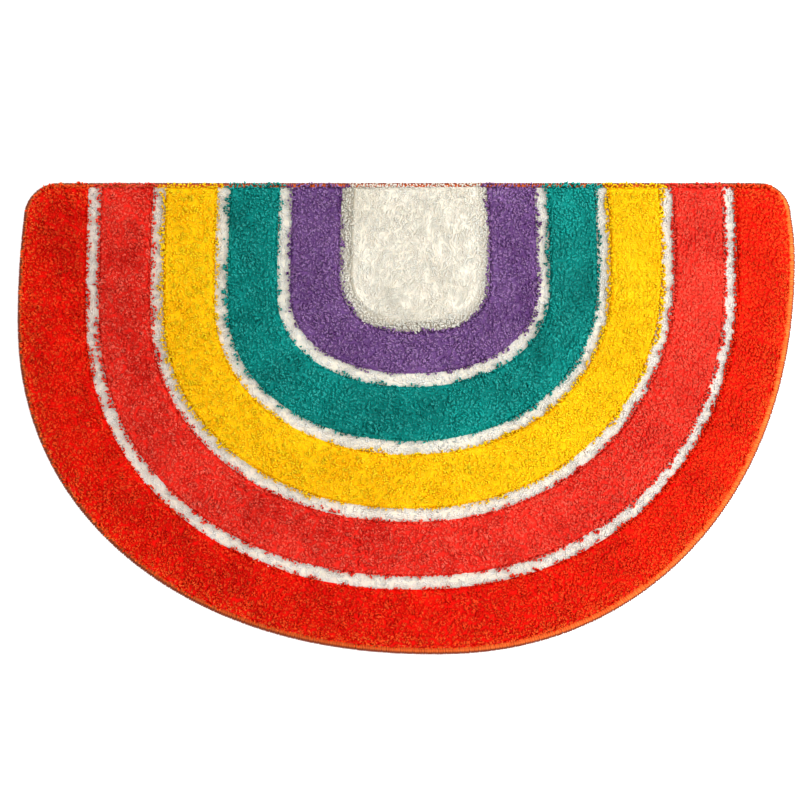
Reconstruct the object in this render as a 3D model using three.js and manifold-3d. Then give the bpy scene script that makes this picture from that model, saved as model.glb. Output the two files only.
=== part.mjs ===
// A half-round doormat: one tufted cloth with raised rainbow bands round a white middle,
// and an orange yarn edging overlocked round its rim.
// Millimetres. +X runs along the straight edge, +Y points to the straight edge, +Z is up,
// and the flat underside lies at z = 0.
import * as THREE from "three";
import { mergeVertices } from "three/addons/utils/BufferGeometryUtils.js";
import Module from "manifold-3d";

const wasm = await Module();
wasm.setup();

// Driving dimensions
const matWidth = 750;
const matDepth = 455;
const leftCorner = 34; // radius of the two corners at the ends of the straight edge
const rightCorner = 31;
const leftLean = 6; // how far the mat's two sides lean inwards below these corners
const rightLean = 4;
const pileHeight = 15; // tips of the raised bands above the floor
const fieldHeight = 14; // tips of the raised white middle
const lineHeight = 9; // tips of the low white pile in the lines
const lineWidth = 9;
const shoulder = 3; // rounding of the raised pile along its edges
const toeIn = 3; // how far the lines lean inwards where they reach the straight edge
const pileInset = 4; // from the mat's outline to the pile, so that the edging shows
const edgingWidth = 7; // how far the edging reaches over the cloth
const edgingHeight = 6;
const edgingYarn = 1.5; // thickness of the yarn over, round and under the cloth
const edgingRound = 1.2;
const clearance = 0.3; // between the cloth and the edging
const bandRoot = 7; // where the raised bands start inside the low pile
const cutMargin = 5; // how far a cutting shape runs past what it cuts

const straightEdge = matDepth / 2;
const sideSteps = 4;
const bendSteps = 18;
const cornerSteps = 6;
const shoulderSteps = 2;

// U-shaped curves, seen from above: where the left and right sides run, the lowest point and its place
// along X, where each side starts to bend, and how square the bend is (2 gives an ellipse).
const outline = {
  left: -matWidth / 2, right: matWidth / 2, bottom: -matDepth / 2,
  middle: 28, leftBend: 95, rightBend: 155, roundness: 2.15,
};
// The middles of the white lines, from the outermost inwards: they part red from coral, coral from yellow,
// yellow from teal, teal from purple, and purple from the white middle.
const whiteLines = [
  { left: -302, right: 312, bottom: -158, middle: 8, leftBend: 100, rightBend: 130, roundness: 2.15 },
  { left: -240, right: 252, bottom: -93, middle: 4, leftBend: 105, rightBend: 140, roundness: 2.1 },
  { left: -178, right: 190, bottom: -28, middle: 4, leftBend: 110, rightBend: 130, roundness: 2.1 },
  { left: -118, right: 132, bottom: 37, middle: 6, leftBend: 120, rightBend: 125, roundness: 2.15 },
  { left: -58, right: 74, bottom: 89, middle: 8, leftBend: 140, rightBend: 135, roundness: 2.4 },
];

// One bend of a U, from its side (angle 0) to its lowest point (a quarter turn).
function bendPoint(curve, side, bend, angle) {
  const across = Math.cos(angle) ** (2 / curve.roundness);
  const down = Math.sin(angle) ** (2 / curve.roundness);
  return new THREE.Vector2(
    curve.middle + (side - curve.middle) * across,
    bend - (bend - curve.bottom) * down,
  );
}

// The two bends of a U, from the left side round the lowest point to the right side.
function bends(curve) {
  const points = [];
  for (let step = 0; step <= bendSteps; step += 1) {
    points.push(bendPoint(curve, curve.left, curve.leftBend, (step / bendSteps) * (Math.PI / 2)));
  }
  for (let step = bendSteps - 1; step >= 0; step -= 1) {
    points.push(bendPoint(curve, curve.right, curve.rightBend, (step / bendSteps) * (Math.PI / 2)));
  }
  return points;
}

// A side of a U, from its top down to its bend, leaning inwards at the top.
function leaningSide(side, bend, top, lean) {
  const points = [];
  for (let step = 0; step < sideSteps; step += 1) {
    const rise = 1 - step / sideSteps;
    points.push(new THREE.Vector2(side + lean * rise ** 2, bend + (top - bend) * rise));
  }
  return points;
}

// The middle of a white line, from the left end at the straight edge to the right end.
function linePath(line) {
  const leftSide = leaningSide(line.left, line.leftBend, straightEdge, toeIn);
  const rightSide = leaningSide(line.right, line.rightBend, straightEdge, -toeIn).reverse();
  return [...leftSide, ...bends(line), ...rightSide];
}

// A round corner of the outline, from the straight edge (angle 0) to just before the top of the side.
function corner(side, radius, direction) {
  const points = [];
  for (let step = 0; step < cornerSteps; step += 1) {
    const angle = (step / cornerSteps) * (Math.PI / 2);
    points.push(new THREE.Vector2(
      side + direction * radius * (1 - Math.sin(angle)),
      straightEdge - radius * (1 - Math.cos(angle)),
    ));
  }
  return points;
}

// The outline, from the left end of the straight edge round to its right end.
function outlinePath() {
  const { left, right, leftBend, rightBend } = outline;
  const leftEnd = corner(left + leftLean, leftCorner, 1);
  const leftSide = leaningSide(left, leftBend, straightEdge - leftCorner, leftLean);
  const rightEnd = corner(right - rightLean, rightCorner, -1).reverse();
  const rightSide = leaningSide(right, rightBend, straightEdge - rightCorner, -rightLean).reverse();
  return [...leftEnd, ...leftSide, ...bends(outline), ...rightSide, ...rightEnd];
}

// A path moved sideways by a distance, to the inside of its U where the distance is positive.
function parallel(path, distance, closed) {
  const last = path.length - 1;
  return path.map((point, index) => {
    const before = path[index > 0 ? index - 1 : closed ? last : 0];
    const after = path[index < last ? index + 1 : closed ? 0 : last];
    const entering = point.clone().sub(before).normalize();
    const leaving = after.clone().sub(point).normalize();
    const along = entering.add(leaving).normalize();
    const stretch = index > 0 && index < last ? 1 / along.dot(leaving) : 1;
    const inward = new THREE.Vector2(-along.y, along.x);
    return point.clone().addScaledVector(inward, distance * stretch);
  });
}

// The mat's whole outline, moved inwards.
function insetOutline(distance) {
  return parallel(outlinePath(), distance, true);
}

// One edge of a white line, ending on the straight edge of the pile.
function lineEdge(line, distance) {
  const edge = parallel(linePath(line), distance, false);
  edge[0].y = straightEdge - pileInset;
  edge[edge.length - 1].y = straightEdge - pileInset;
  return edge;
}

// A closed solid from a loop of points, between two heights, with rounded top and bottom edges if asked.
function slab(loop, low, high, rounding = 0) {
  const geometry = new THREE.ExtrudeGeometry(new THREE.Shape(loop), {
    depth: high - low - 2 * rounding,
    bevelEnabled: rounding > 0,
    bevelThickness: rounding,
    bevelSize: rounding,
    bevelOffset: -rounding,
    bevelSegments: shoulderSteps,
    curveSegments: 1,
    steps: 1,
  });
  geometry.translate(0, 0, low + rounding);
  return geometry;
}

function toSolid(geometry) {
  geometry.deleteAttribute("normal");
  geometry.deleteAttribute("uv");
  const merged = mergeVertices(geometry);
  return new wasm.Manifold(new wasm.Mesh({
    numProp: 3,
    vertProperties: new Float32Array(merged.attributes.position.array),
    triVerts: new Uint32Array(merged.index.array),
  }));
}

function toGeometry(solid) {
  const { vertProperties, triVerts } = solid.getMesh();
  const geometry = new THREE.BufferGeometry();
  geometry.setAttribute("position", new THREE.BufferAttribute(vertProperties, 3));
  geometry.setIndex(new THREE.BufferAttribute(triVerts, 1));
  geometry.computeVertexNormals();
  return geometry;
}

// A raised band between its outer and its inner edge, which both run from left to right.
function band(outerEdge, innerEdge) {
  return toSolid(slab([...outerEdge, ...innerEdge.reverse()], bandRoot, pileHeight, shoulder));
}

// The cloth: a core on the floor, a thin rim lifted into the edging, the low pile, and the raised pile.
function tuftedCloth() {
  const core = toSolid(slab(insetOutline(edgingWidth + clearance), 0, bandRoot));
  const rimLow = edgingYarn + clearance;
  const rimHigh = edgingHeight - edgingYarn - clearance;
  const rim = toSolid(slab(insetOutline(edgingYarn + clearance), rimLow, rimHigh));
  const lowPile = toSolid(slab(insetOutline(pileInset), edgingHeight + clearance, lineHeight));

  const outerEdges = [insetOutline(pileInset), ...whiteLines.map((line) => lineEdge(line, lineWidth / 2))];
  const innerEdges = whiteLines.map((line) => lineEdge(line, -lineWidth / 2));
  const bands = innerEdges.map((innerEdge, index) => band(outerEdges[index], innerEdge));
  const field = toSolid(slab(outerEdges[whiteLines.length], bandRoot, fieldHeight, shoulder));

  return [rim, lowPile, ...bands, field].reduce((cloth, piece) => cloth.add(piece), core);
}

// The edging: a ring round the outline, with a slot that takes the cloth's rim.
function overlockedEdging() {
  const ring = toSolid(slab(insetOutline(0), 0, edgingHeight, edgingRound));
  const slot = toSolid(slab(insetOutline(edgingYarn), edgingYarn, edgingHeight - edgingYarn));
  const hole = toSolid(slab(insetOutline(edgingWidth), -cutMargin, edgingHeight + cutMargin));
  return ring.subtract(slot).subtract(hole);
}

function piece(name, solid, colour, roughness) {
  const material = new THREE.MeshStandardMaterial({ color: colour, roughness, metalness: 0 });
  const mesh = new THREE.Mesh(toGeometry(solid), material);
  mesh.name = name;
  return mesh;
}

const doormat = new THREE.Group();
doormat.add(piece("tufted_mat", tuftedCloth(), 0xd91f10, 0.95));
doormat.add(piece("edging", overlockedEdging(), 0xf0702f, 0.8));

export default doormat;
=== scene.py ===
# %% [markdown]
# # A half-round tufted doormat
# The mat is one cloth, tufted with cut yarn in rainbow bands. The bands stand high, the white lines
# between them are short pile, and an orange yarn is overlocked round the raw edge.
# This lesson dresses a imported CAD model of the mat. It starts by loading that model as a fixed frame.

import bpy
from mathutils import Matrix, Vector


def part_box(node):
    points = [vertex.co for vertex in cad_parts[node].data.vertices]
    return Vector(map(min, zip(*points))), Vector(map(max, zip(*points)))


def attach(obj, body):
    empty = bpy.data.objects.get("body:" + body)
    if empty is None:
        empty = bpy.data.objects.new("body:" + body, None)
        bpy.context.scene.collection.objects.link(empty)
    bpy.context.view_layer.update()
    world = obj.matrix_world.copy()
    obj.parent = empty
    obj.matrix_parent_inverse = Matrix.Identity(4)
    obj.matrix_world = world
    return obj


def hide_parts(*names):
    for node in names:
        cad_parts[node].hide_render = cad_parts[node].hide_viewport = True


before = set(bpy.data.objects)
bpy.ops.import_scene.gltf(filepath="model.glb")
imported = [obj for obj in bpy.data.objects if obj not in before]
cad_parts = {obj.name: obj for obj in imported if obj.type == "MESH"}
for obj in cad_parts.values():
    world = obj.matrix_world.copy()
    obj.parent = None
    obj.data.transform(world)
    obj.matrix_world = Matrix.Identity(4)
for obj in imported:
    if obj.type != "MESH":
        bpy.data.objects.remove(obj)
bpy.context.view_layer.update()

# %% [markdown]
# ## The drawing of the mat
# A maker draws the outline and the white lines on the cloth before tufting. Each line is a U: two
# sides that run down from the straight edge, and two bends that meet at the lowest point. A
# superellipse gives such a bend from three sizes, so the whole drawing is a short table in
# millimetres, and no point is traced.

# %% The sizes of the drawing
from collections import namedtuple

import bmesh
import bpy
import numpy as np

MM = 0.001
Curve = namedtuple("Curve", "left right bottom middle left_bend right_bend roundness")

edging_low, edging_high = (np.array(corner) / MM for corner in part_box("edging"))
straight_edge = edging_high[1]
outline = Curve(edging_low[0], edging_high[0], edging_low[1], 28, 95, 155, 2.15)
white_lines = [
    Curve(-302, 312, -158, 8, 100, 130, 2.15),
    Curve(-240, 252, -93, 4, 105, 140, 2.1),
    Curve(-178, 190, -28, 4, 110, 130, 2.1),
    Curve(-118, 132, 37, 6, 120, 125, 2.15),
    Curve(-58, 74, 89, 8, 140, 135, 2.4),
]
line_width = 9
toe_in = 3
left_corner, right_corner = 34, 31
left_lean, right_lean = 6, 4
print(f"{len(white_lines)} white lines, straight edge at {straight_edge:.1f} mm")

# %% Sides, bends and corners


def bends(curve, steps=90):
    """The two bends of a U, from its left side round the lowest point to its right side."""
    turn = np.linspace(0, np.pi / 2, steps)
    across = np.cos(turn) ** (2 / curve.roundness)
    down = np.sin(turn) ** (2 / curve.roundness)
    sides = []
    for side, bend in ((curve.left, curve.left_bend), (curve.right, curve.right_bend)):
        x = curve.middle + (side - curve.middle) * across
        sides.append(np.column_stack([x, bend - (bend - curve.bottom) * down]))
    return np.vstack([sides[0], sides[1][-2::-1]])


def leaning_side(side, bend, top, lean, overrun=1.0, steps=12):
    """A side of a U, from its top (or past it) down to its bend, leaning inwards at the top."""
    rise = np.linspace(overrun, 0, steps, endpoint=False)
    return np.column_stack([side + lean * rise**2, bend + (top - bend) * rise])


def line_path(curve, overrun=1.4):
    """The middle of a white line, run on past the straight edge at both ends."""
    left = leaning_side(curve.left, curve.left_bend, straight_edge, toe_in, overrun)
    right = leaning_side(curve.right, curve.right_bend, straight_edge, -toe_in, overrun)
    return np.vstack([left, bends(curve), right[::-1]])


def corner(side, radius, direction, steps=12):
    """A round corner of the outline, from the straight edge to just before the side."""
    turn = np.linspace(0, np.pi / 2, steps, endpoint=False)
    return np.column_stack([side + direction * radius * (1 - np.sin(turn)),
                            straight_edge - radius * (1 - np.cos(turn))])


def outline_path():
    """The outline as a closed loop, counter-clockwise from the left end of the straight edge."""
    left_top, right_top = straight_edge - left_corner, straight_edge - right_corner
    left = np.vstack([
        corner(outline.left + left_lean, left_corner, 1),
        leaning_side(outline.left, outline.left_bend, left_top, left_lean)])
    right = np.vstack([
        corner(outline.right - right_lean, right_corner, -1),
        leaning_side(outline.right, outline.right_bend, right_top, -right_lean)])
    loop = np.vstack([left, bends(outline, 140), right[::-1]])
    return np.vstack([loop, loop[:1]])


rim_path = outline_path()
line_paths = [line_path(line) for line in white_lines]
run = np.linalg.norm(np.diff(rim_path, axis=0), axis=1)

# %% [markdown]
# ## How far a tuft lies from a line
# Everything about a tuft follows from its place: its yarn, its height and the way it leans. All of
# these need the distance to the drawn lines. The nearest point on a path of short straight steps gives
# that distance, its sign (positive inside the U) and the direction away from the path. What chance
# does over wide patches of the cloth comes from sums of a few waves.

# %% Distances and waves
block_size = 2000
smallest = 1e-9


def distance(points, path):
    """(signed distance, unit vector away from the path) for each point."""
    starts, steps = path[:-1], np.diff(path, axis=0)
    length2 = (steps**2).sum(1)
    keep = length2 > smallest
    starts, steps, length2 = starts[keep], steps[keep], length2[keep]
    signed, away = np.empty(len(points)), np.empty_like(points)
    for block in np.array_split(np.arange(len(points)), max(1, len(points) // block_size)):
        to_point = points[block, None] - starts
        share = np.clip((to_point * steps).sum(2) / length2, 0, 1)
        gap = to_point - share[..., None] * steps
        nearest = (gap**2).sum(2).argmin(1)
        rows = np.arange(len(block))
        gap, to_point = gap[rows, nearest], to_point[rows, nearest]
        inside = steps[nearest, 0] * to_point[:, 1] - steps[nearest, 1] * to_point[:, 0]
        reach = np.linalg.norm(gap, axis=1)
        signed[block] = np.sign(inside) * reach
        away[block] = gap / np.maximum(reach, smallest)[:, None]
    return signed, away


def line_distances(points):
    """(signed distances, unit vectors away) of each point for every white line."""
    found = [distance(points, path) for path in line_paths]
    return np.column_stack([gap for gap, _ in found]), np.stack([away for _, away in found], axis=1)


def waves(points, seed, wavelength, count=7):
    """Smooth random hills, about -1 to 1, with roughly this wavelength in millimetres."""
    seeded = np.random.default_rng(seed)
    heading = seeded.uniform(0, 2 * np.pi, count)
    number = 2 * np.pi / (wavelength * seeded.uniform(0.6, 1.6, count))
    phase = seeded.uniform(0, 2 * np.pi, count)
    angle = points @ np.array([np.cos(heading), np.sin(heading)]) * number + phase
    return np.sin(angle).sum(1) / np.sqrt(count / 2) / 1.5


# %% [markdown]
# ## Where the yarn ends stand
# A tuft is the cut end of a yarn, a few millimetres wide, that opens into a brush of fine strands. The
# strands are set in staggered rows and moved a little at random, so that no grid shows. The white
# middle is finer than the bands, so its rows are closer.

# %% Strand places
band_pitch, field_pitch = 2.05, 1.65
jitter = 0.4
random = np.random.default_rng(7)


def staggered(pitch, low, high):
    """Places in staggered rows over a box, each moved a little at random."""
    columns, rows = (np.arange(low[axis], high[axis], pitch) for axis in (0, 1))
    x, y = np.meshgrid(columns, rows)
    y = y + np.where(np.arange(len(columns)) % 2, pitch / 2, 0)
    spots = np.column_stack([x.ravel(), y.ravel()])
    return spots + random.uniform(-jitter, jitter, spots.shape) * pitch


in_bands = staggered(band_pitch, (outline.left, outline.bottom), (outline.right, straight_edge))
in_bands = in_bands[distance(in_bands, line_paths[-1])[0] < -line_width / 2]
inner = white_lines[-1]
in_middle = staggered(field_pitch, (inner.left - line_width, inner.bottom - line_width),
                      (inner.right + line_width, straight_edge))
in_middle = in_middle[distance(in_middle, line_paths[-1])[0] > -line_width / 2]
places = np.vstack([in_bands, in_middle])
print(f"{len(places)} places over the whole box")

# %% [markdown]
# ## Pile at the rim
# Along the straight edge the tufts hang out over the edging and hide it in places. Below and on the
# right the edging shows as a clear cord. So the pile comes nearer to the rim at the top, and stands
# back from it below and on the right.

# %% Pile at the rim
pile_inset, cad_inset = 5.0, 4.0
over_top, back_below = 2.9, 2.0
below_right = np.array([-0.7, 0.9])


def cover(away):
    """How far the pile comes out towards the rim, negative where it stands back."""
    return over_top * np.maximum(-away[:, 1], 0) ** 4 - back_below * np.maximum(away @ below_right, 0)


rim_distance, rim_away = distance(places, rim_path)
rim_gap = rim_distance + cover(rim_away) - pile_inset
keep = rim_gap > 0
places, rim_distance, rim_away, rim_gap = (
    values[keep] for values in (places, rim_distance, rim_away, rim_gap))
print(f"{len(places)} strands")

# %% [markdown]
# ## Tufts
# The strands of one yarn end lean, fray and take the dye together. A loose grid with one random spot in
# each cell gives the middles of the tufts, and every strand joins the nearest one.

# %% Tufts
tuft_pitch = 3.9
tuft_margin = 0.08
cloth_corner = np.array([outline.left, outline.bottom])


def nearest_tuft(points):
    """The number and the middle of the tuft that each point belongs to."""
    cell = np.floor((points - cloth_corner) / tuft_pitch).astype(int) + 1
    shape = cell.max(0) + 2
    offsets = random.uniform(tuft_margin, 1 - tuft_margin, (*shape, 2))
    best = np.full(len(points), np.inf)
    number, middle = np.zeros(len(points), int), np.zeros_like(points)
    for step in np.ndindex(3, 3):
        other = cell + np.array(step) - 1
        spot = (other - 1 + offsets[other[:, 0], other[:, 1]]) * tuft_pitch + cloth_corner
        gap = ((points - spot) ** 2).sum(1)
        nearer = gap < best
        best[nearer], middle[nearer] = gap[nearer], spot[nearer]
        number[nearer] = (other[:, 0] * shape[1] + other[:, 1])[nearer]
    return number, middle


tuft, tuft_middle = nearest_tuft(places)
tuft_count = tuft.max() + 1
print(f"{len(np.unique(tuft))} tufts")

# %% [markdown]
# ## Bands and lines
# The yarn of a strand follows from its place between the drawn lines, which wander by about a
# millimetre. On the real mat the pile of the bands opens over the low lines, so these look narrower at
# the sides than at the bottom, and their edges are ragged, tuft by tuft. The innermost line has grown
# together with the white middle, so its strands join that band. The pile is combed more evenly
# towards the right, which one number for each strand, its calm, tells.

# %% Nearest line
wander, long_wave, short_wave = 0.9, 34, 14
line_gaps, line_away = line_distances(places)
edge_distance = np.minimum(np.abs(line_gaps).min(1) - line_width / 2, rim_distance - cad_inset)
line_gaps += (wander * waves(places, 3, long_wave) + wander * waves(places, 4, short_wave))[:, None]
inner_gap = line_gaps[:, -1]
nearest_line = np.abs(line_gaps).argmin(1)
pick = np.arange(len(places))
away = line_away[pick, nearest_line]
print("strands nearest to each line:", np.bincount(nearest_line).tolist())

# %% Bands and lines
field = len(white_lines)
open_below = 1.9
covered_sides = np.array([[0.3, 0.1], [1.0, 0.4], [0.2, 0.5], [-0.8, 0.7], [0.0, 0.0]])
swell, swell_wave = 0.6, 20
fray_mean, tuft_fray, own_fray, calm_fray = -0.2, 1.0, 0.1, 0.4
calm_from, calm_over = 60, 240
line_end = 0.5


def calmness(points):
    """How evenly the pile is combed: 0 on the left half, rising to 1 on the far right."""
    return np.clip((points[:, 0] - calm_from) / calm_over, 0, 1)


calm = calmness(places)
covered = covered_sides[nearest_line, (places[:, 0] > 0).astype(int)]
half_width = line_width / 2 + open_below * np.abs(away[:, 1]) ** 3
half_width = half_width - covered * np.abs(away[:, 0]) ** 3
to_line = np.abs(line_gaps)[pick, nearest_line] - half_width - swell * waves(places, 5, swell_wave)
fray = fray_mean + random.normal(0, tuft_fray, tuft_count)[tuft] * (1 - calm_fray * calm)
fray += random.normal(0, own_fray, len(places))
on_line = (to_line < fray) & (rim_distance > pile_inset + line_end)
joined = on_line & (nearest_line == field - 1)
on_line &= ~joined
band = np.where(joined, field, (line_gaps > 0).sum(1))
of_field = band == field
to_line = np.where(of_field, np.maximum(inner_gap + half_width, 0), to_line)
print(f"{on_line.sum()} strands in the white lines, {of_field.sum()} in the white middle")

# %% [markdown]
# ## Joined strands
# Thousands of strands are joined into one mesh for each yarn, straight from arrays, because modelling
# each with an operator would take minutes. Every strand is a closed tube that narrows to a point at
# both ends, and has its own square on the UV map, so that its colour can be baked.

# %% Points and faces of the tubes
square_margin = 0.12


def tube_points(middles, radii, side, sides, twist):
    """The ring points of every tube, then its root end and its tip end."""
    count, steps, _ = middles.shape
    tangent = np.gradient(middles, axis=1)
    tangent /= np.linalg.norm(tangent, axis=2, keepdims=True)
    first = side[:, None] - (tangent * side[:, None]).sum(2, keepdims=True) * tangent
    first /= np.linalg.norm(first, axis=2, keepdims=True)
    second = np.cross(tangent, first)
    angle = np.arange(sides) * 2 * np.pi / sides + twist * np.arange(steps)[:, None]
    rings = middles[:, 1:-1, None] + radii[:, 1:-1, None, None] * (
        np.cos(angle)[1:-1, :, None] * first[:, 1:-1, None]
        + np.sin(angle)[1:-1, :, None] * second[:, 1:-1, None])
    return np.concatenate([rings.reshape(count, -1, 3), middles[:, :1], middles[:, -1:]], axis=1)


def tube_faces(sides, steps):
    """The quads and the end fans of one tube as point numbers, each with the u and v of its corners."""
    ring_count = steps - 2
    k, j = np.meshgrid(np.arange(sides), np.arange(ring_count - 1))
    k, j, after = k.ravel(), j.ravel(), (k.ravel() + 1) % sides
    low, high = j * sides, (j + 1) * sides
    quads = np.column_stack([low + k, low + after, high + after, high + k])
    quad_u = np.column_stack([k, k + 1, k + 1, k]) / sides
    quad_v = np.column_stack([j, j, j + 1, j + 1]) + 1
    k = np.arange(sides)
    after, top = (k + 1) % sides, (ring_count - 1) * sides
    root_end, tip_end = (np.full(sides, ring_count * sides + end) for end in (0, 1))
    fans = np.vstack([np.column_stack([root_end, after, k]),
                      np.column_stack([top + k, top + after, tip_end])])
    fan_u = np.vstack([np.column_stack([k + 0.5, k + 1, k]),
                       np.column_stack([k, k + 1, k + 0.5])]) / sides
    fan_v = np.vstack([np.tile([0, 1, 1], (sides, 1)),
                       np.tile([ring_count, ring_count, steps - 1], (sides, 1))])
    return quads, (quad_u, quad_v / (steps - 1)), fans, (fan_u, fan_v / (steps - 1))


def own_squares(count, u, v):
    """The corners of every tube on the UV map, each tube in a square of its own."""
    cells = int(np.ceil(np.sqrt(count)))
    cell = np.column_stack([np.arange(count) % cells, np.arange(count) // cells])[:, None]
    within = square_margin + (1 - 2 * square_margin) * np.column_stack([u.ravel(), v.ravel()])
    return ((cell + within) / cells).reshape(-1, 2)


# %% Joined strands


def strands(name, middles, radii, side, sides, twist, notes):
    """One mesh of many closed tubes. middles is (count, steps, 3) in millimetres, with the two end
    points as its first and last step; radii has the same steps; side is one sideways direction for
    each tube; notes are values for each tube, which its finish reads."""
    count, steps, _ = middles.shape
    points = tube_points(middles, radii, side, sides, twist)
    points_each = points.shape[1]
    quads, quad_uv, fans, fan_uv = tube_faces(sides, steps)
    offset = (np.arange(count) * points_each)[:, None]
    loops = np.concatenate([(quads.ravel() + offset).ravel(), (fans.ravel() + offset).ravel()])
    sizes = np.concatenate([np.full(count * len(quads), 4), np.full(count * len(fans), 3)])
    mesh = bpy.data.meshes.new(name)
    mesh.vertices.add(count * points_each)
    mesh.vertices.foreach_set("co", (points * MM).astype(np.float32).ravel())
    mesh.loops.add(len(loops))
    mesh.loops.foreach_set("vertex_index", loops.astype(np.int32))
    mesh.polygons.add(len(sizes))
    mesh.polygons.foreach_set("loop_start", (np.cumsum(sizes) - sizes).astype(np.int32))
    mesh.polygons.foreach_set("use_smooth", np.ones(len(sizes), bool))
    mesh.update(calc_edges=True)

    uv = np.vstack([own_squares(count, *quad_uv), own_squares(count, *fan_uv)])
    mesh.uv_layers.new(name="OFBake").uv.foreach_set("vector", uv.astype(np.float32).ravel())
    along = np.concatenate([np.repeat(np.arange(1, steps - 1), sides), [0, steps - 1]]) / (steps - 1)
    notes = {"along": np.tile(along, count)} | {n: np.repeat(v, points_each) for n, v in notes.items()}
    for note, values in notes.items():
        attribute = mesh.attributes.new(note, "FLOAT", "POINT")
        attribute.data.foreach_set("value", values.astype(np.float32))
    piece = bpy.data.objects.new(name, mesh)
    bpy.context.scene.collection.objects.link(piece)
    print(f"{name}: {count} strands, {count * (2 * len(quads) + len(fans))} triangles")
    return piece


# %% [markdown]
# ## The bed of the pile
# Between the tips one looks down on the dense foot of the pile. It is built as a bed: low in the white
# lines, higher under the bands, and rising a little to the right, where the combed pile closes. Its
# walls stand back from the lines, so that only strands make the edge of a band. In the white middle
# it climbs over the innermost line, with a trench on the left for the crease that is left of that line.

# %% Levels of the pile
band_tip, field_tip, line_tip = 15.0, 14.0, 9.0
line_bed = 8.0
band_beds = np.array([11.5, 11.5, 12.0, 11.4, 11.4, 12.0])
bed_rise = 1.2
shoulder = 3.0
wall_back = 1.8
pile_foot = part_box("edging")[1].z / MM


def hollow(share):
    """A quarter circle from 0 to 1 that starts flat and ends upright."""
    return 1 - np.sqrt(1 - share**2)


def bed_tops(points, bands):
    """Height of the bed in the middle of a band."""
    return band_beds[bands] + bed_rise * calmness(points) * (bands < field)


def bed_level(points, gaps, bands):
    """Height of the bed at a distance inside the edge of a band."""
    share = np.clip((gaps - np.where(bands == field, 0, wall_back)) / shoulder, 0, 1)
    return line_bed + (bed_tops(points, bands) - line_bed) * hollow(share)


def middle_ramp(gaps, away_x):
    """Rise of the bed over the innermost line to the white middle, with a trench on the left."""
    trench = np.maximum(away_x, 0) * (gaps > 0)
    return (band_beds[field] - line_bed) * np.clip(gaps / line_width + 0.5, 0, 1) * (1 - trench)


print(f"tips at {line_tip} to {band_tip} mm, edging up to {pile_foot:.2f} mm")

# %% [markdown]
# ## Lean
# Cut pile is never upright. Groups of tufts lean together, which makes soft light and dark patches, and
# each tuft leans a little its own way while its strands close up at the tip. Tufts at the edge of a
# band splay out over the white line or the rim, unevenly, as a brush does when it is pressed.

# %% Distance inside the edges
far_inside = 9.0
field_calm = 0.9
edge_gap = np.minimum(np.maximum(to_line, 0), np.maximum(rim_gap, 0))
edge_gap = np.where(on_line, far_inside, edge_gap)
nearer_rim = rim_gap < to_line
outward = np.where(nearer_rim[:, None], -rim_away, -away)
calm = np.where(of_field, field_calm, calm)
print(f"{nearer_rim.sum()} strands are nearer to the rim than to a line")

# %% Lean of every strand
group_wave, small_wave, small_lean = 60, 15, 0.7
tuft_lean, calm_tuft = 1.2, 0.4
own_lean, calm_own = 0.6, 0.5
closing = 0.5
short_pile_lean = 0.55
field_comb, right_comb = 0.6, 1.2
edge_lean, edge_reach = 0.4, 4

lean = np.column_stack([waves(places, 11, group_wave), waves(places, 12, group_wave)])
lean += small_lean * np.column_stack([waves(places, 13, small_wave), waves(places, 14, small_wave)])
lean += random.normal(0, tuft_lean, (tuft_count, 2))[tuft] * (1 - calm_tuft * calm)[:, None]
lean += random.normal(0, own_lean, lean.shape) * (1 - calm_own * calm)[:, None]
lean += closing * (tuft_middle - places)
lean *= np.where(of_field, short_pile_lean, 1.0)[:, None]
lean[:, 1] -= np.where(of_field, field_comb, right_comb * calm)
lean *= np.minimum(edge_lean + edge_gap / edge_reach, 1)[:, None]

# %% Splay at the edges
rim_base, rim_ragged, rim_up, rim_left = 0.6, 0.9, 1.4, 1.2
line_base, line_ragged, line_up = 0.7, 0.8, 1.2
splay_reach = 2.5

rim_splay = rim_base + rim_ragged * waves(places, 16, 11)
rim_splay = rim_splay + rim_up * np.maximum(outward[:, 1], 0) ** 2
rim_splay = rim_splay + rim_left * np.maximum(-outward[:, 0], 0)
line_splay = line_base + line_ragged * waves(places, 18, 9) + line_up * np.maximum(outward[:, 1], 0)
splay = np.where(nearer_rim, rim_splay, line_splay)
lean += outward * (splay * np.exp(-edge_gap / splay_reach) * ~on_line)[:, None]
lean *= np.where(on_line, short_pile_lean, 1.0)[:, None]
print(f"tips lean by {np.linalg.norm(lean, axis=1).mean():.2f} mm on average")

# %% [markdown]
# ## Height
# Shears cut the pile almost level. Each tuft still stands a little higher or lower than its
# neighbours, the edges of a band are worn lower, which rounds its shoulder, and the white middle has
# faint upright streaks. The crease beside the white middle is a narrow row of lower tips.

# %% Height of every strand
tuft_uneven, own_uneven, mean_loss = 0.9, 0.3, 0.3
line_uneven, field_uneven, calm_even = 0.7, 0.5, 0.6
streak_height, streak_wave, streak_stretch = 0.5, 7, [1, 0.2]
field_worn, band_worn, worn_reach = 1.0, 1.6, 2.2
most_above = 0.5
crease_at, crease_width, crease_depth = 4.6, 1.2, 3.4

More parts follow.
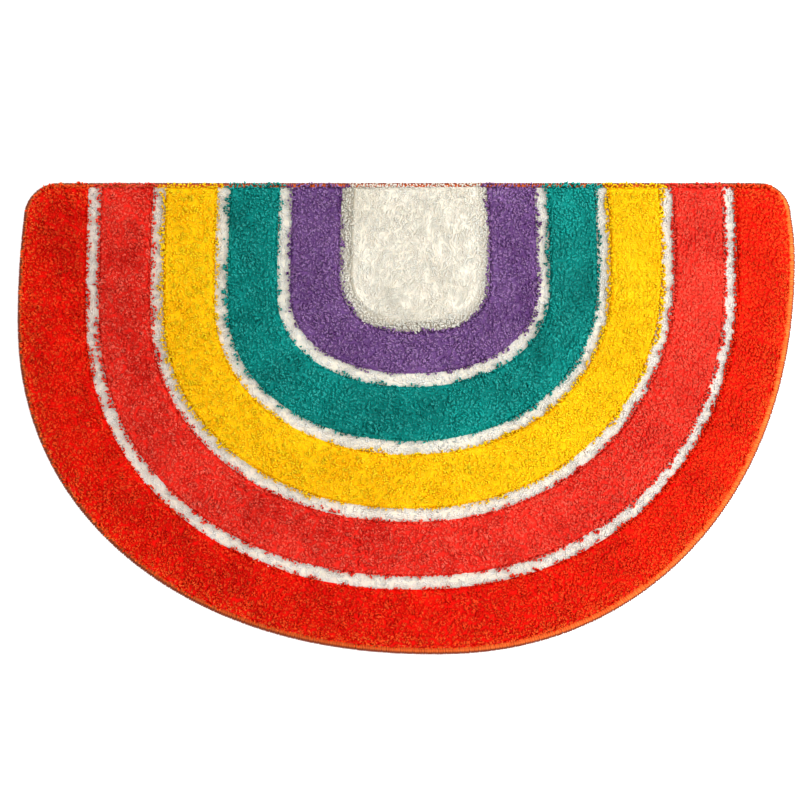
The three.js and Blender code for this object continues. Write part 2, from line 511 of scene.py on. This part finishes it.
level = np.where(on_line, line_tip, np.where(of_field, field_tip, band_tip))
uneven = random.normal(0, tuft_uneven, tuft_count)[tuft] + random.normal(0, own_uneven, len(places))
uneven = uneven - mean_loss
uneven *= np.where(on_line, line_uneven, np.where(of_field, field_uneven, 1 - calm_even * calm))
streaks = waves(places * streak_stretch, 17, streak_wave) * of_field
worn = np.where(of_field, field_worn, band_worn)
tip = level + uneven + streak_height * streaks - worn * np.exp(-edge_gap / worn_reach) * ~on_line
tip = np.minimum(tip, level + most_above)
crease = np.maximum(away[:, 0], 0) * of_field * (inner_gap > 0)
crease *= np.exp(-(((inner_gap - crease_at) / crease_width) ** 2))
tip -= crease_depth * crease
print(f"tips of the bands at {tip[~on_line & ~of_field].mean():.1f} mm on average")

# %% [markdown]
# ## Roots, thickness and dye
# A strand starts a little below the bed. Next to the rim, where the bed has not begun, it starts in the
# edging. Strands are thicker in the white lines and finer in the white middle. Each also carries notes
# for its finish: how it took the dye, which also sets how much painted highlight its tip gets; how near
# it is to the rim, for a painted orange reflection on red tips; how much painted shade it gets at the
# wall of a band and in the crease, less on the calm right; and its calm.

# %% Roots and thickness
root_depth = 1.2
rim_strip = 1.5
strand_radius = 1.18
thinnest, thickest = 0.85, 1.1
line_thick, field_thick, calm_thick = 1.2, 0.78, 0.1

middle_bed = np.maximum(line_bed + middle_ramp(inner_gap, away[:, 0]),
                        bed_level(places, inner_gap - line_width / 2, band))
root = np.where(of_field, middle_bed, bed_level(places, edge_distance, band))
root = np.where(on_line, line_bed, root)
root = np.where(rim_distance - cad_inset < wall_back + rim_strip, pile_foot, root) - root_depth
radius = strand_radius * random.uniform(thinnest, thickest, len(places))
radius = radius * np.where(on_line, line_thick, 1.0)
radius *= np.where(of_field, field_thick, 1 + calm_thick * calm)
print(f"strands are {2 * radius.mean():.1f} mm thick on average")

# %% Notes for the finishes
tuft_dye, own_dye, calm_dye = 0.55, 0.45, 0.7
orange_light_reach, orange_light_floor = 9, 0.15
wall_shade_reach, calm_light, crease_shade = 2.0, 0.4, 2.0

# The tint is each strand's own dye tone. It also picks which tips get the painted highlight and the
# painted orange reflection.
tint = tuft_dye * random.random(tuft_count)[tuft] + own_dye * random.random(len(places))
tint = 0.5 + (tint - 0.5) * (1 - calm_dye * calm)
# How near each strand is to the rim, for the painted orange reflection on red tips.
orange_light_nearness = np.exp(-np.maximum(rim_gap, 0) / orange_light_reach) + orange_light_floor
# Painted shade near the wall of a band and in the crease, less on the calm right side of the bands.
painted_shade = np.exp(-np.maximum(to_line, 0) / wall_shade_reach) * ~on_line
painted_shade = painted_shade - calm_light * calm * (band < field) + crease_shade * crease

# %% Form of a strand
curl_spread, calm_curl = 0.35, 0.6
band_heights = np.array([0.0, 0.4, 0.76, 1.0])
field_heights = np.array([0.0, 0.4, 0.9, 1.0])
foot_width, calm_foot, top_width = 0.95, 0.5, 0.9
strand_sides, strand_twist = 3, 0.5

curl = random.normal(0, curl_spread, len(places)) * ~on_line * (1 - calm_curl * calm)
widths = np.zeros((len(places), len(band_heights)))
widths[:, 1] = foot_width + calm_foot * calm * (band < field)
widths[:, 2] = top_width


def tufts(name, chosen):
    """The strands at the chosen places as one piece."""
    count = chosen.sum()
    heights = field_heights if name == "white_middle" else band_heights
    bend, bow = heights**1.5, np.sin(np.pi * heights)
    sideways = lean[chosen] @ np.array([[0, 1], [-1, 0]])
    sideways /= np.linalg.norm(sideways, axis=1, keepdims=True)
    middles = np.empty((count, len(heights), 3))
    middles[:, :, :2] = places[chosen, None] + lean[chosen, None] * bend[:, None]
    middles[:, :, :2] += (sideways * curl[chosen, None])[:, None] * bow[:, None]
    middles[:, :, 2] = root[chosen, None] + (tip - root)[chosen, None] * heights
    turn = tint[chosen] * 2 * np.pi
    side = np.column_stack([np.cos(turn), np.sin(turn), np.zeros(count)])
    radii = (radius[:, None] * widths)[chosen]
    notes = {"tint": tint, "rim": orange_light_nearness, "painted_shade": painted_shade, "calm": calm * ~on_line}
    notes = {note: values[chosen] for note, values in notes.items()}
    return strands(name, middles, radii, side, strand_sides, strand_twist, notes)


# %% [markdown]
# ## The yarns
# Each yarn is one piece, as a tufting machine works one colour at a time. The red yarn covers the most
# cloth, so it is made in a left and a right half to keep each mesh light.

# %% Pile of each yarn
yarn_names = ["red", "coral", "yellow", "teal", "purple", "white"]
left_half = places[:, 0] < outline.middle
pile = {}
for index, yarn in enumerate(yarn_names):
    of_band = (band == index) & ~on_line
    if yarn == "red":
        pile["red_pile_left"] = tufts("red_pile_left", of_band & left_half)
        pile["red_pile_right"] = tufts("red_pile_right", of_band & ~left_half)
    elif yarn == "white":
        pile["white_middle"] = tufts("white_middle", of_band)
    else:
        pile[yarn + "_pile"] = tufts(yarn + "_pile", of_band)
pile["white_lines"] = tufts("white_lines", on_line)

# %% [markdown]
# ## The cloth under the pile
# The CAD solid already has the right steps for the cloth and the bed, so this piece is a copy of its
# mesh, merged into one skin. Its tops are lowered to where the tufts part, and its walls move back
# under the strands. Each face takes the yarn that stands on it, and the underside is woven backing.

# %% Copy of the mat's skin
merge_distance = 1e-6
flat_top = 0.99
cloth_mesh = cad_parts["tufted_mat"].data.copy()
cloth_mesh.name = "mat_cloth"
cloth_mesh.materials.clear()
mat_cloth = bpy.data.objects.new("mat_cloth", cloth_mesh)
bpy.context.scene.collection.objects.link(mat_cloth)
skin = bmesh.new()
skin.from_mesh(cloth_mesh)
bmesh.ops.remove_doubles(skin, verts=skin.verts, dist=merge_distance)
tops = [face for face in skin.faces
        if face.normal.z > flat_top and face.calc_center_median().z > (line_tip + shoulder) * MM]
bmesh.ops.dissolve_faces(skin, faces=tops)
skin.verts.index_update()
print(f"skin of {len(skin.verts)} points, {len(tops)} faces of the tops joined")

# %% Walls and tops of the bed
slack = 0.5
rim_wall_back = 1.0
line_top = line_tip - 0.1
wall_top = line_bed + 0.3

spots = np.array([vert.co for vert in skin.verts]) / MM
spot_gaps, spot_aways = line_distances(spots[:, :2])
spot_band = (spot_gaps > 0).sum(1)
spot_line = np.abs(spot_gaps).argmin(1)
spot_away = spot_aways[np.arange(len(spots)), spot_line]
inside = np.abs(spot_gaps).min(1) - line_width / 2
on_wall = (inside > -slack) & (inside < shoulder + slack)
on_wall &= (spots[:, 2] > line_top) & (spot_band < field)
spots[:, :2] += spot_away * (wall_back * on_wall)[:, None]
spot_rim, spot_inward = distance(spots[:, :2], rim_path)
at_rim = (spot_rim < cad_inset + shoulder + slack) & (spots[:, 2] > pile_foot)
rim_move = rim_wall_back - np.minimum(cover(spot_inward), 0)
spots[:, :2] += spot_inward * (rim_move * at_rim)[:, None]

top = np.where(spot_band == field, field_tip, band_tip)
climb = np.clip((spots[:, 2] - top + shoulder) / shoulder, 0, 1)
low = np.interp(spots[:, 2], [0, pile_foot, line_tip, band_tip], [0, pile_foot, line_bed, wall_top])
raised = (bed_tops(spots, spot_band) - line_bed) * hollow(climb)
ramp_foot = (spots[:, 2] > line_top) & (spot_line == field - 1)
raised = np.maximum(raised, middle_ramp(spot_gaps[:, -1], spot_away[:, 0]) * ramp_foot)
for vert, spot, height in zip(skin.verts, spots, low + raised):
    vert.co = (spot[0] * MM, spot[1] * MM, height * MM)
skin.normal_update()
print(f"{on_wall.sum()} points of the walls moved back, bed up to {(low + raised).max():.1f} mm")

# %% Yarns of the faces
backing_slot = len(yarn_names)
edge_slot = backing_slot + 1
underside = 0.5 * MM
edge_top, edge_wall_top = (pile_foot - 0.1) * MM, (line_bed - 0.2) * MM

middles = np.array([(face.verts[0].co if len(face.verts) > 4 else face.calc_center_median()) / MM
                    for face in skin.faces])
face_gaps, _ = line_distances(middles[:, :2])
face_line = np.abs(face_gaps).min(1) < line_width / 2
face_band = (face_gaps > 0).sum(1)
for face, low_line, number in zip(skin.faces, face_line, face_band):
    height = face.calc_center_median().z
    if height < underside:
        face.material_index = backing_slot
    elif height < edge_top or (abs(face.normal.z) < 0.5 and height < edge_wall_top):
        face.material_index = edge_slot
    else:
        face.material_index = field if low_line else int(number)
skin.to_mesh(cloth_mesh)
skin.free()
print(f"mat_cloth: {len(cloth_mesh.polygons)} faces")

# %% [markdown]
# ## The edging
# An overlock machine winds yarn round the raw edge in close slanting turns. Each turn is a bent tube
# that starts under the pile, runs out over the rim, round it and back underneath. The section of one
# turn is given by a few points, and all turns are one joined mesh.

# %% Overlocked turns
turn_pitch = 2.3
turn_slant = 3.4
turn_radius = 1.35
turn_sides = 6
start_jitter, height_jitter, fullness_jitter = 0.12, 0.08, 0.08
across = np.array([7.4, 6.6, 4.2, 2.0, 1.15, 2.0, 4.2, 6.6, 7.2])
height = np.array([5.2, 5.35, 5.2, 4.6, 3.1, 1.7, 1.15, 1.15, 1.2])
thick = np.array([0.0, 0.9, 1.0, 1.0, 1.0, 1.0, 0.9, 0.85, 0.0])
outermost = len(across) // 2
look_ahead = 4
# Painted shade on the edging: turns that face away from the lamp, on the left, are painted darker.
shade_facing, shade_base = np.array([0.75, 0.35]), 0.15

station = np.concatenate([[0], np.cumsum(run)])
whole = station[-1]


def rim_at(stations):
    """Points of the rim at these distances along it."""
    x, y = (np.interp(stations % whole, station, rim_path[:, axis]) for axis in (0, 1))
    return np.stack([x, y], axis=2)


turn_count = int(whole / turn_pitch)
start = np.arange(turn_count) + random.uniform(-start_jitter, start_jitter, turn_count)
start = start * whole / turn_count
at = (start[:, None] + np.linspace(-0.5, 0.5, len(across)) * turn_slant) % whole
heading = rim_at(at + look_ahead) - rim_at(at - look_ahead)
heading /= np.linalg.norm(heading, axis=2, keepdims=True)
inward = np.stack([-heading[..., 1], heading[..., 0]], axis=2)
turns = np.empty((turn_count, len(across), 3))
turns[..., :2] = rim_at(at) + inward * across[:, None]
turns[..., 2] = height + random.normal(0, height_jitter, (turn_count, 1))
fullness = random.uniform(1 - fullness_jitter, 1 + fullness_jitter, (turn_count, 1))
side = np.column_stack([heading[:, outermost], np.zeros(turn_count)])
# How much painted shade each turn gets, most on the left and none on the right.
painted_side_shade = np.clip(inward[:, outermost] @ shade_facing + shade_base, 0, 1)
edging = strands("yarn_edging", turns, turn_radius * fullness * thick, side, turn_sides, 0.0,
                 {"tint": random.random(turn_count), "painted_side_shade": painted_side_shade})

# %% [markdown]
# ## A small language for finishes
# A finish is a graph of shader nodes. One class wraps a node's output, so that sums and products of
# values can be written as Python expressions, and one method adds any other node.

# %% Wires and finishes


class Wire:
    """One output of a shader node. Arithmetic on wires adds Math nodes."""

    def __init__(self, finish, socket):
        self.finish, self.socket = finish, socket

    def maths(self, operation, first, second):
        return self.finish.add("ShaderNodeMath", {"operation": operation}, {0: first, 1: second})

    def __add__(self, other):
        return self.maths("ADD", self, other)

    def __sub__(self, other):
        return self.maths("SUBTRACT", self, other)

    def __rsub__(self, other):
        return self.maths("SUBTRACT", other, self)

    def __mul__(self, other):
        return self.maths("MULTIPLY", self, other)

    __radd__, __rmul__ = __add__, __mul__


class Finish:
    """A material with one Principled shader."""

    def __init__(self, name, **constants):
        self.material = bpy.data.materials.new(name)
        self.material.use_nodes = True
        self.tree = self.material.node_tree
        self.shader = self.tree.nodes["Principled BSDF"]
        for socket, value in constants.items():
            self.shader.inputs[socket.replace("_", " ")].default_value = value

    def add(self, kind, settings=None, inputs=None, output=0):
        """Adds a node, sets its settings, fills its sockets, and returns one output as a wire."""
        node = self.tree.nodes.new(kind)
        for name, value in (settings or {}).items():
            setattr(node, name, value)
        for name, value in (inputs or {}).items():
            self.fill(node.inputs[name], value)
        return Wire(self, node.outputs[output])

    def fill(self, socket, value):
        if isinstance(value, Wire):
            self.tree.links.new(value.socket, socket)
        else:
            socket.default_value = value

    def note(self, name):
        """A value that the mesh carries for each strand or point."""
        return self.add("ShaderNodeAttribute", {"attribute_name": name}, output="Fac")

    def noise(self, scale, detail=2.0):
        place = self.add("ShaderNodeTexCoord", output="Object")
        return self.add("ShaderNodeTexNoise", None, {"Vector": place, "Scale": scale, "Detail": detail})

    def blend(self, share, first, second):
        """A colour between two others."""
        ends = {"Factor": share, 6: first, 7: second}
        return self.add("ShaderNodeMix", {"data_type": "RGBA"}, ends, 2)

    def wear(self, socket, value):
        self.fill(self.shader.inputs[socket], value)


# %% [markdown]
# ## Yarn finishes
# Dyed yarn is matt. Its root is painted darker as painted shade, where light hardly reaches, and some
# cut tips are painted paler as a painted highlight. Every tuft takes the dye a little differently, broad
# soft patches run over the pile, and where the pile is calm the painted root shade is weaker, so the
# root is almost as light as the tip. Near the rim, red tips get a painted orange reflection of the
# edging.

# %% Colours of the yarns


def linear(red, green, blue):
    """A colour given as screen values from 0 to 255, as a shader wants it."""
    screen = np.array([red, green, blue]) / 255
    values = np.where(screen <= 0.04045, screen / 12.92, ((screen + 0.055) / 1.055) ** 2.4)
    return (*values.tolist(), 1.0)


# For each yarn: deep is painted shade for the root of the pile, full is the yarn's own colour, and tip
# is a painted highlight for cut tips.
Yarn = namedtuple("Yarn", "deep full tip")
yarns = {
    "red": Yarn(linear(188, 0, 0), linear(246, 16, 2), linear(255, 62, 30)),
    "coral": Yarn(linear(190, 6, 3), linear(247, 50, 36), linear(255, 92, 74)),
    "yellow": Yarn(linear(236, 168, 0), linear(250, 198, 8), linear(253, 206, 28)),
    "teal": Yarn(linear(0, 86, 81), linear(8, 148, 140), linear(42, 162, 154)),
    "purple": Yarn(linear(70, 32, 94), linear(131, 93, 153), linear(146, 110, 166)),
    "white": Yarn(linear(217, 209, 192), linear(233, 227, 214), linear(236, 232, 220)),
    "line": Yarn(linear(216, 210, 201), linear(227, 222, 214), linear(234, 230, 224)),
}
# Painted reflection: red tips near the rim take the orange of the edging.
painted_orange_lights = {"red": linear(255, 112, 36)}

# %% Yarn finishes
broad_scale, broad_share = 22.0, 2.0
fine_scale, fine_share = 110.0, 0.8
middle_height, root_to_tip, calm_level = 0.65, 1.3, 0.8
dye_share, painted_shade_share, usual_patches = 0.4, 0.4, 1.1
orange_light_share = 0.7
foot_share = 0.4


def yarn_finish(name, yarn, along_tuft=True):
    """Matt yarn that lets light through. The foot of the pile takes patches only."""
    finish = Finish(name + "_yarn", Roughness=0.6, Specular_IOR_Level=0.05, Subsurface_Weight=0.7,
                    Subsurface_Scale=0.003, Subsurface_Radius=(1.0, 0.8, 0.7))
    patches = finish.noise(broad_scale) * broad_share + finish.noise(fine_scale) * fine_share
    if along_tuft:
        tint, along = finish.note("tint"), finish.note("along")
        # Painted shade from root to tip, weaker where the pile is calm.
        climb = (along - middle_height) * (root_to_tip - calm_level * finish.note("calm"))
        shade = climb + tint * dye_share + patches - usual_patches - finish.note("painted_shade") * painted_shade_share
        colour = finish.blend(shade, yarn.deep, yarn.full)
        # Painted highlight: the paler tip colour on the tips of some strands.
        colour = finish.blend(along * tint * tint, colour, yarn.tip)
        # Painted orange reflection of the edging on red tips near the rim.
        if name in painted_orange_lights:
            orange_light = finish.note("rim") * tint * (along * along) * orange_light_share
            colour = finish.blend(orange_light, colour, painted_orange_lights[name])
    else:
        # The foot of the pile is painted between the yarn's colour and its painted root shade.
        colour = finish.blend(patches * foot_share, yarn.deep, yarn.full)
    finish.wear("Base Color", colour)
    return finish.material


finishes = {yarn_name: yarn_finish(yarn_name, yarn) for yarn_name, yarn in yarns.items()}
for piece_name, piece in pile.items():
    yarn_name = piece_name.split("_")[0]
    piece.data.materials.append(finishes["line" if piece_name == "white_lines" else yarn_name])
for yarn_name in yarn_names:
    cloth_mesh.materials.append(yarn_finish(yarn_name + "_foot", yarns[yarn_name], along_tuft=False))
print(f"{len(finishes)} yarn finishes and {len(cloth_mesh.materials)} for the foot of the pile")

# %% [markdown]
# ## Backing and edging finishes
# The backing is a plain weave of undyed cotton, made from two crossed waves. The edging yarn is a
# bright orange, with painted shade on its left side, away from the lamp, and a painted shadow in brown
# on the outer, under part of each turn.

# %% Backing and edging
thread_scale, thread_wobble = 180.0, 1.2
orange_deep, orange_bright = linear(214, 76, 20), linear(252, 132, 56)
# Painted shade colours of the edging: one for its left side, one for the outer, under part of each turn.
orange_side_shade, orange_under_shade = linear(160, 62, 18), linear(122, 46, 18)
under_shade_from, under_shade_to, side_shade_reach = 0.30, 0.38, 0.06


def backing_finish():
    """Undyed plain weave."""
    finish = Finish("backing_weave", Roughness=0.95, Specular_IOR_Level=0.1)
    place = finish.add("ShaderNodeTexCoord", output="Object")
    wave = {"Vector": place, "Scale": thread_scale, "Distortion": thread_wobble}
    threads = [finish.add("ShaderNodeTexWave", {"wave_type": "BANDS", "bands_direction": way}, wave)
               for way in ("X", "Y")]
    weave = threads[0] * threads[1]
    finish.wear("Base Color", finish.blend(weave, linear(176, 166, 146), linear(222, 214, 196)))
    relief = {"Strength": 0.5, "Distance": 0.0005, "Height": weave}
    finish.wear("Normal", finish.add("ShaderNodeBump", None, relief))
    return finish.material


def edging_finish(name, plain):
    """Orange yarn. The plain one, for the cloth inside the edging, reads no notes of the turns."""
    finish = Finish(name, Roughness=0.8, Specular_IOR_Level=0.2)
    dye = finish.noise(900.0) * 0.6 + finish.noise(24.0) * 0.4
    if plain:
        colour = finish.blend(dye, orange_deep, orange_bright)
    else:
        painted_side_shade = finish.note("painted_side_shade")
        colour = finish.blend(dye * 0.6 + finish.note("tint") * 0.5, orange_deep, orange_bright)
        # Painted shade on the left side of the edging.
        colour = finish.blend(painted_side_shade * 0.7, colour, orange_side_shade)
        # Painted shadow: the outer, under part of each turn is painted brown, starting a little earlier
        # where the side shade is painted.
        outer = finish.note("along") + painted_side_shade * side_shade_reach
        limits = {"Value": outer, 1: under_shade_from, 2: under_shade_to}
        under_shade = finish.add("ShaderNodeMapRange", None, limits)
        colour = finish.blend(under_shade, colour, orange_under_shade)
    finish.wear("Base Color", colour)
    return finish.material


cloth_mesh.materials.append(backing_finish())
cloth_mesh.materials.append(edging_finish("edging_under", True))
edging.data.materials.append(edging_finish("orange_yarn", False))
print(f"mat_cloth has {len(cloth_mesh.materials)} materials")

# %% [markdown]
# ## Light and floor
# The photo has soft light from the right and a white floor. A large lamp, near and on the right, gives
# the bright right side and the thin shadow along each white line, and a white world fills in. The
# lamp is hidden from the camera, because a view from the side could otherwise show its disk.

# %% Floor and world
scene = bpy.context.scene
scene.view_settings.view_transform = "Standard"
scene.view_settings.look = "None"

floor_mesh = bpy.data.meshes.new("floor")
floor_build = bmesh.new()
bmesh.ops.create_grid(floor_build, x_segments=1, y_segments=1, size=6.0)
floor_build.to_mesh(floor_mesh)
floor_build.free()
floor = bpy.data.objects.new("floor", floor_mesh)
floor.location.z = -0.0002
scene.collection.objects.link(floor)
floor_finish = Finish("floor_white", Roughness=0.9, Base_Color=(0.92, 0.92, 0.92, 1.0),
                      Emission_Color=(1.0, 1.0, 1.0, 1.0), Emission_Strength=0.25)
floor_mesh.materials.append(floor_finish.material)

world = bpy.data.worlds.new("studio")
world.use_nodes = True
background = world.node_tree.nodes["Background"]
background.inputs["Color"].default_value = (1.0, 0.99, 0.97, 1.0)
background.inputs["Strength"].default_value = 1.25
scene.world = world

# %% Lamp
lamp_data = bpy.data.lights.new("key_lamp", "AREA")
lamp_data.shape, lamp_data.size = "DISK", 1.0
lamp_data.energy, lamp_data.color = 8.7, (1.0, 0.98, 0.95)
lamp = bpy.data.objects.new("key_lamp", lamp_data)
lamp.location = (0.6, 0.12, 0.8)
lamp.rotation_euler = (-lamp.location).to_track_quat("-Z", "Y").to_euler()
lamp.visible_camera = False
scene.collection.objects.link(lamp)
print("lamp at", tuple(round(x, 2) for x in lamp.location))

# %% [markdown]
# ## Camera
# The photo is taken from straight above. The mat's width in pixels gives the scale, and the place of its
# middle in the picture gives the point under the camera. The scale holds at the height of the edging.

# %% Camera
photo_side = 800
mm_per_pixel = 750 / 779
mat_centre_pixel = np.array([406.3, 418.7])
rim_height = 0.006

photo_centre = np.array([photo_side / 2, photo_side / 2])
look_at = (photo_centre - mat_centre_pixel) * np.array([1, -1]) * mm_per_pixel * MM
camera_data = bpy.data.cameras.new("camera")
camera_data.lens, camera_data.sensor_width = 85.0, 36.0
camera = bpy.data.objects.new("camera", camera_data)
view_width = photo_side * mm_per_pixel * MM
camera.location = (*look_at, rim_height + view_width * camera_data.lens / camera_data.sensor_width)
scene.collection.objects.link(camera)
scene.camera = camera
print("camera height", round(camera.location.z, 3), "m")

# %% [markdown]
# ## Riding on the body
# Every piece rides on the mat's one body, and the parts of the CAD model are hidden.

# %% Ride and hide
for piece in (mat_cloth, edging, *pile.values()):
    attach(piece, "root")
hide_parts("tufted_mat")
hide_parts("edging")
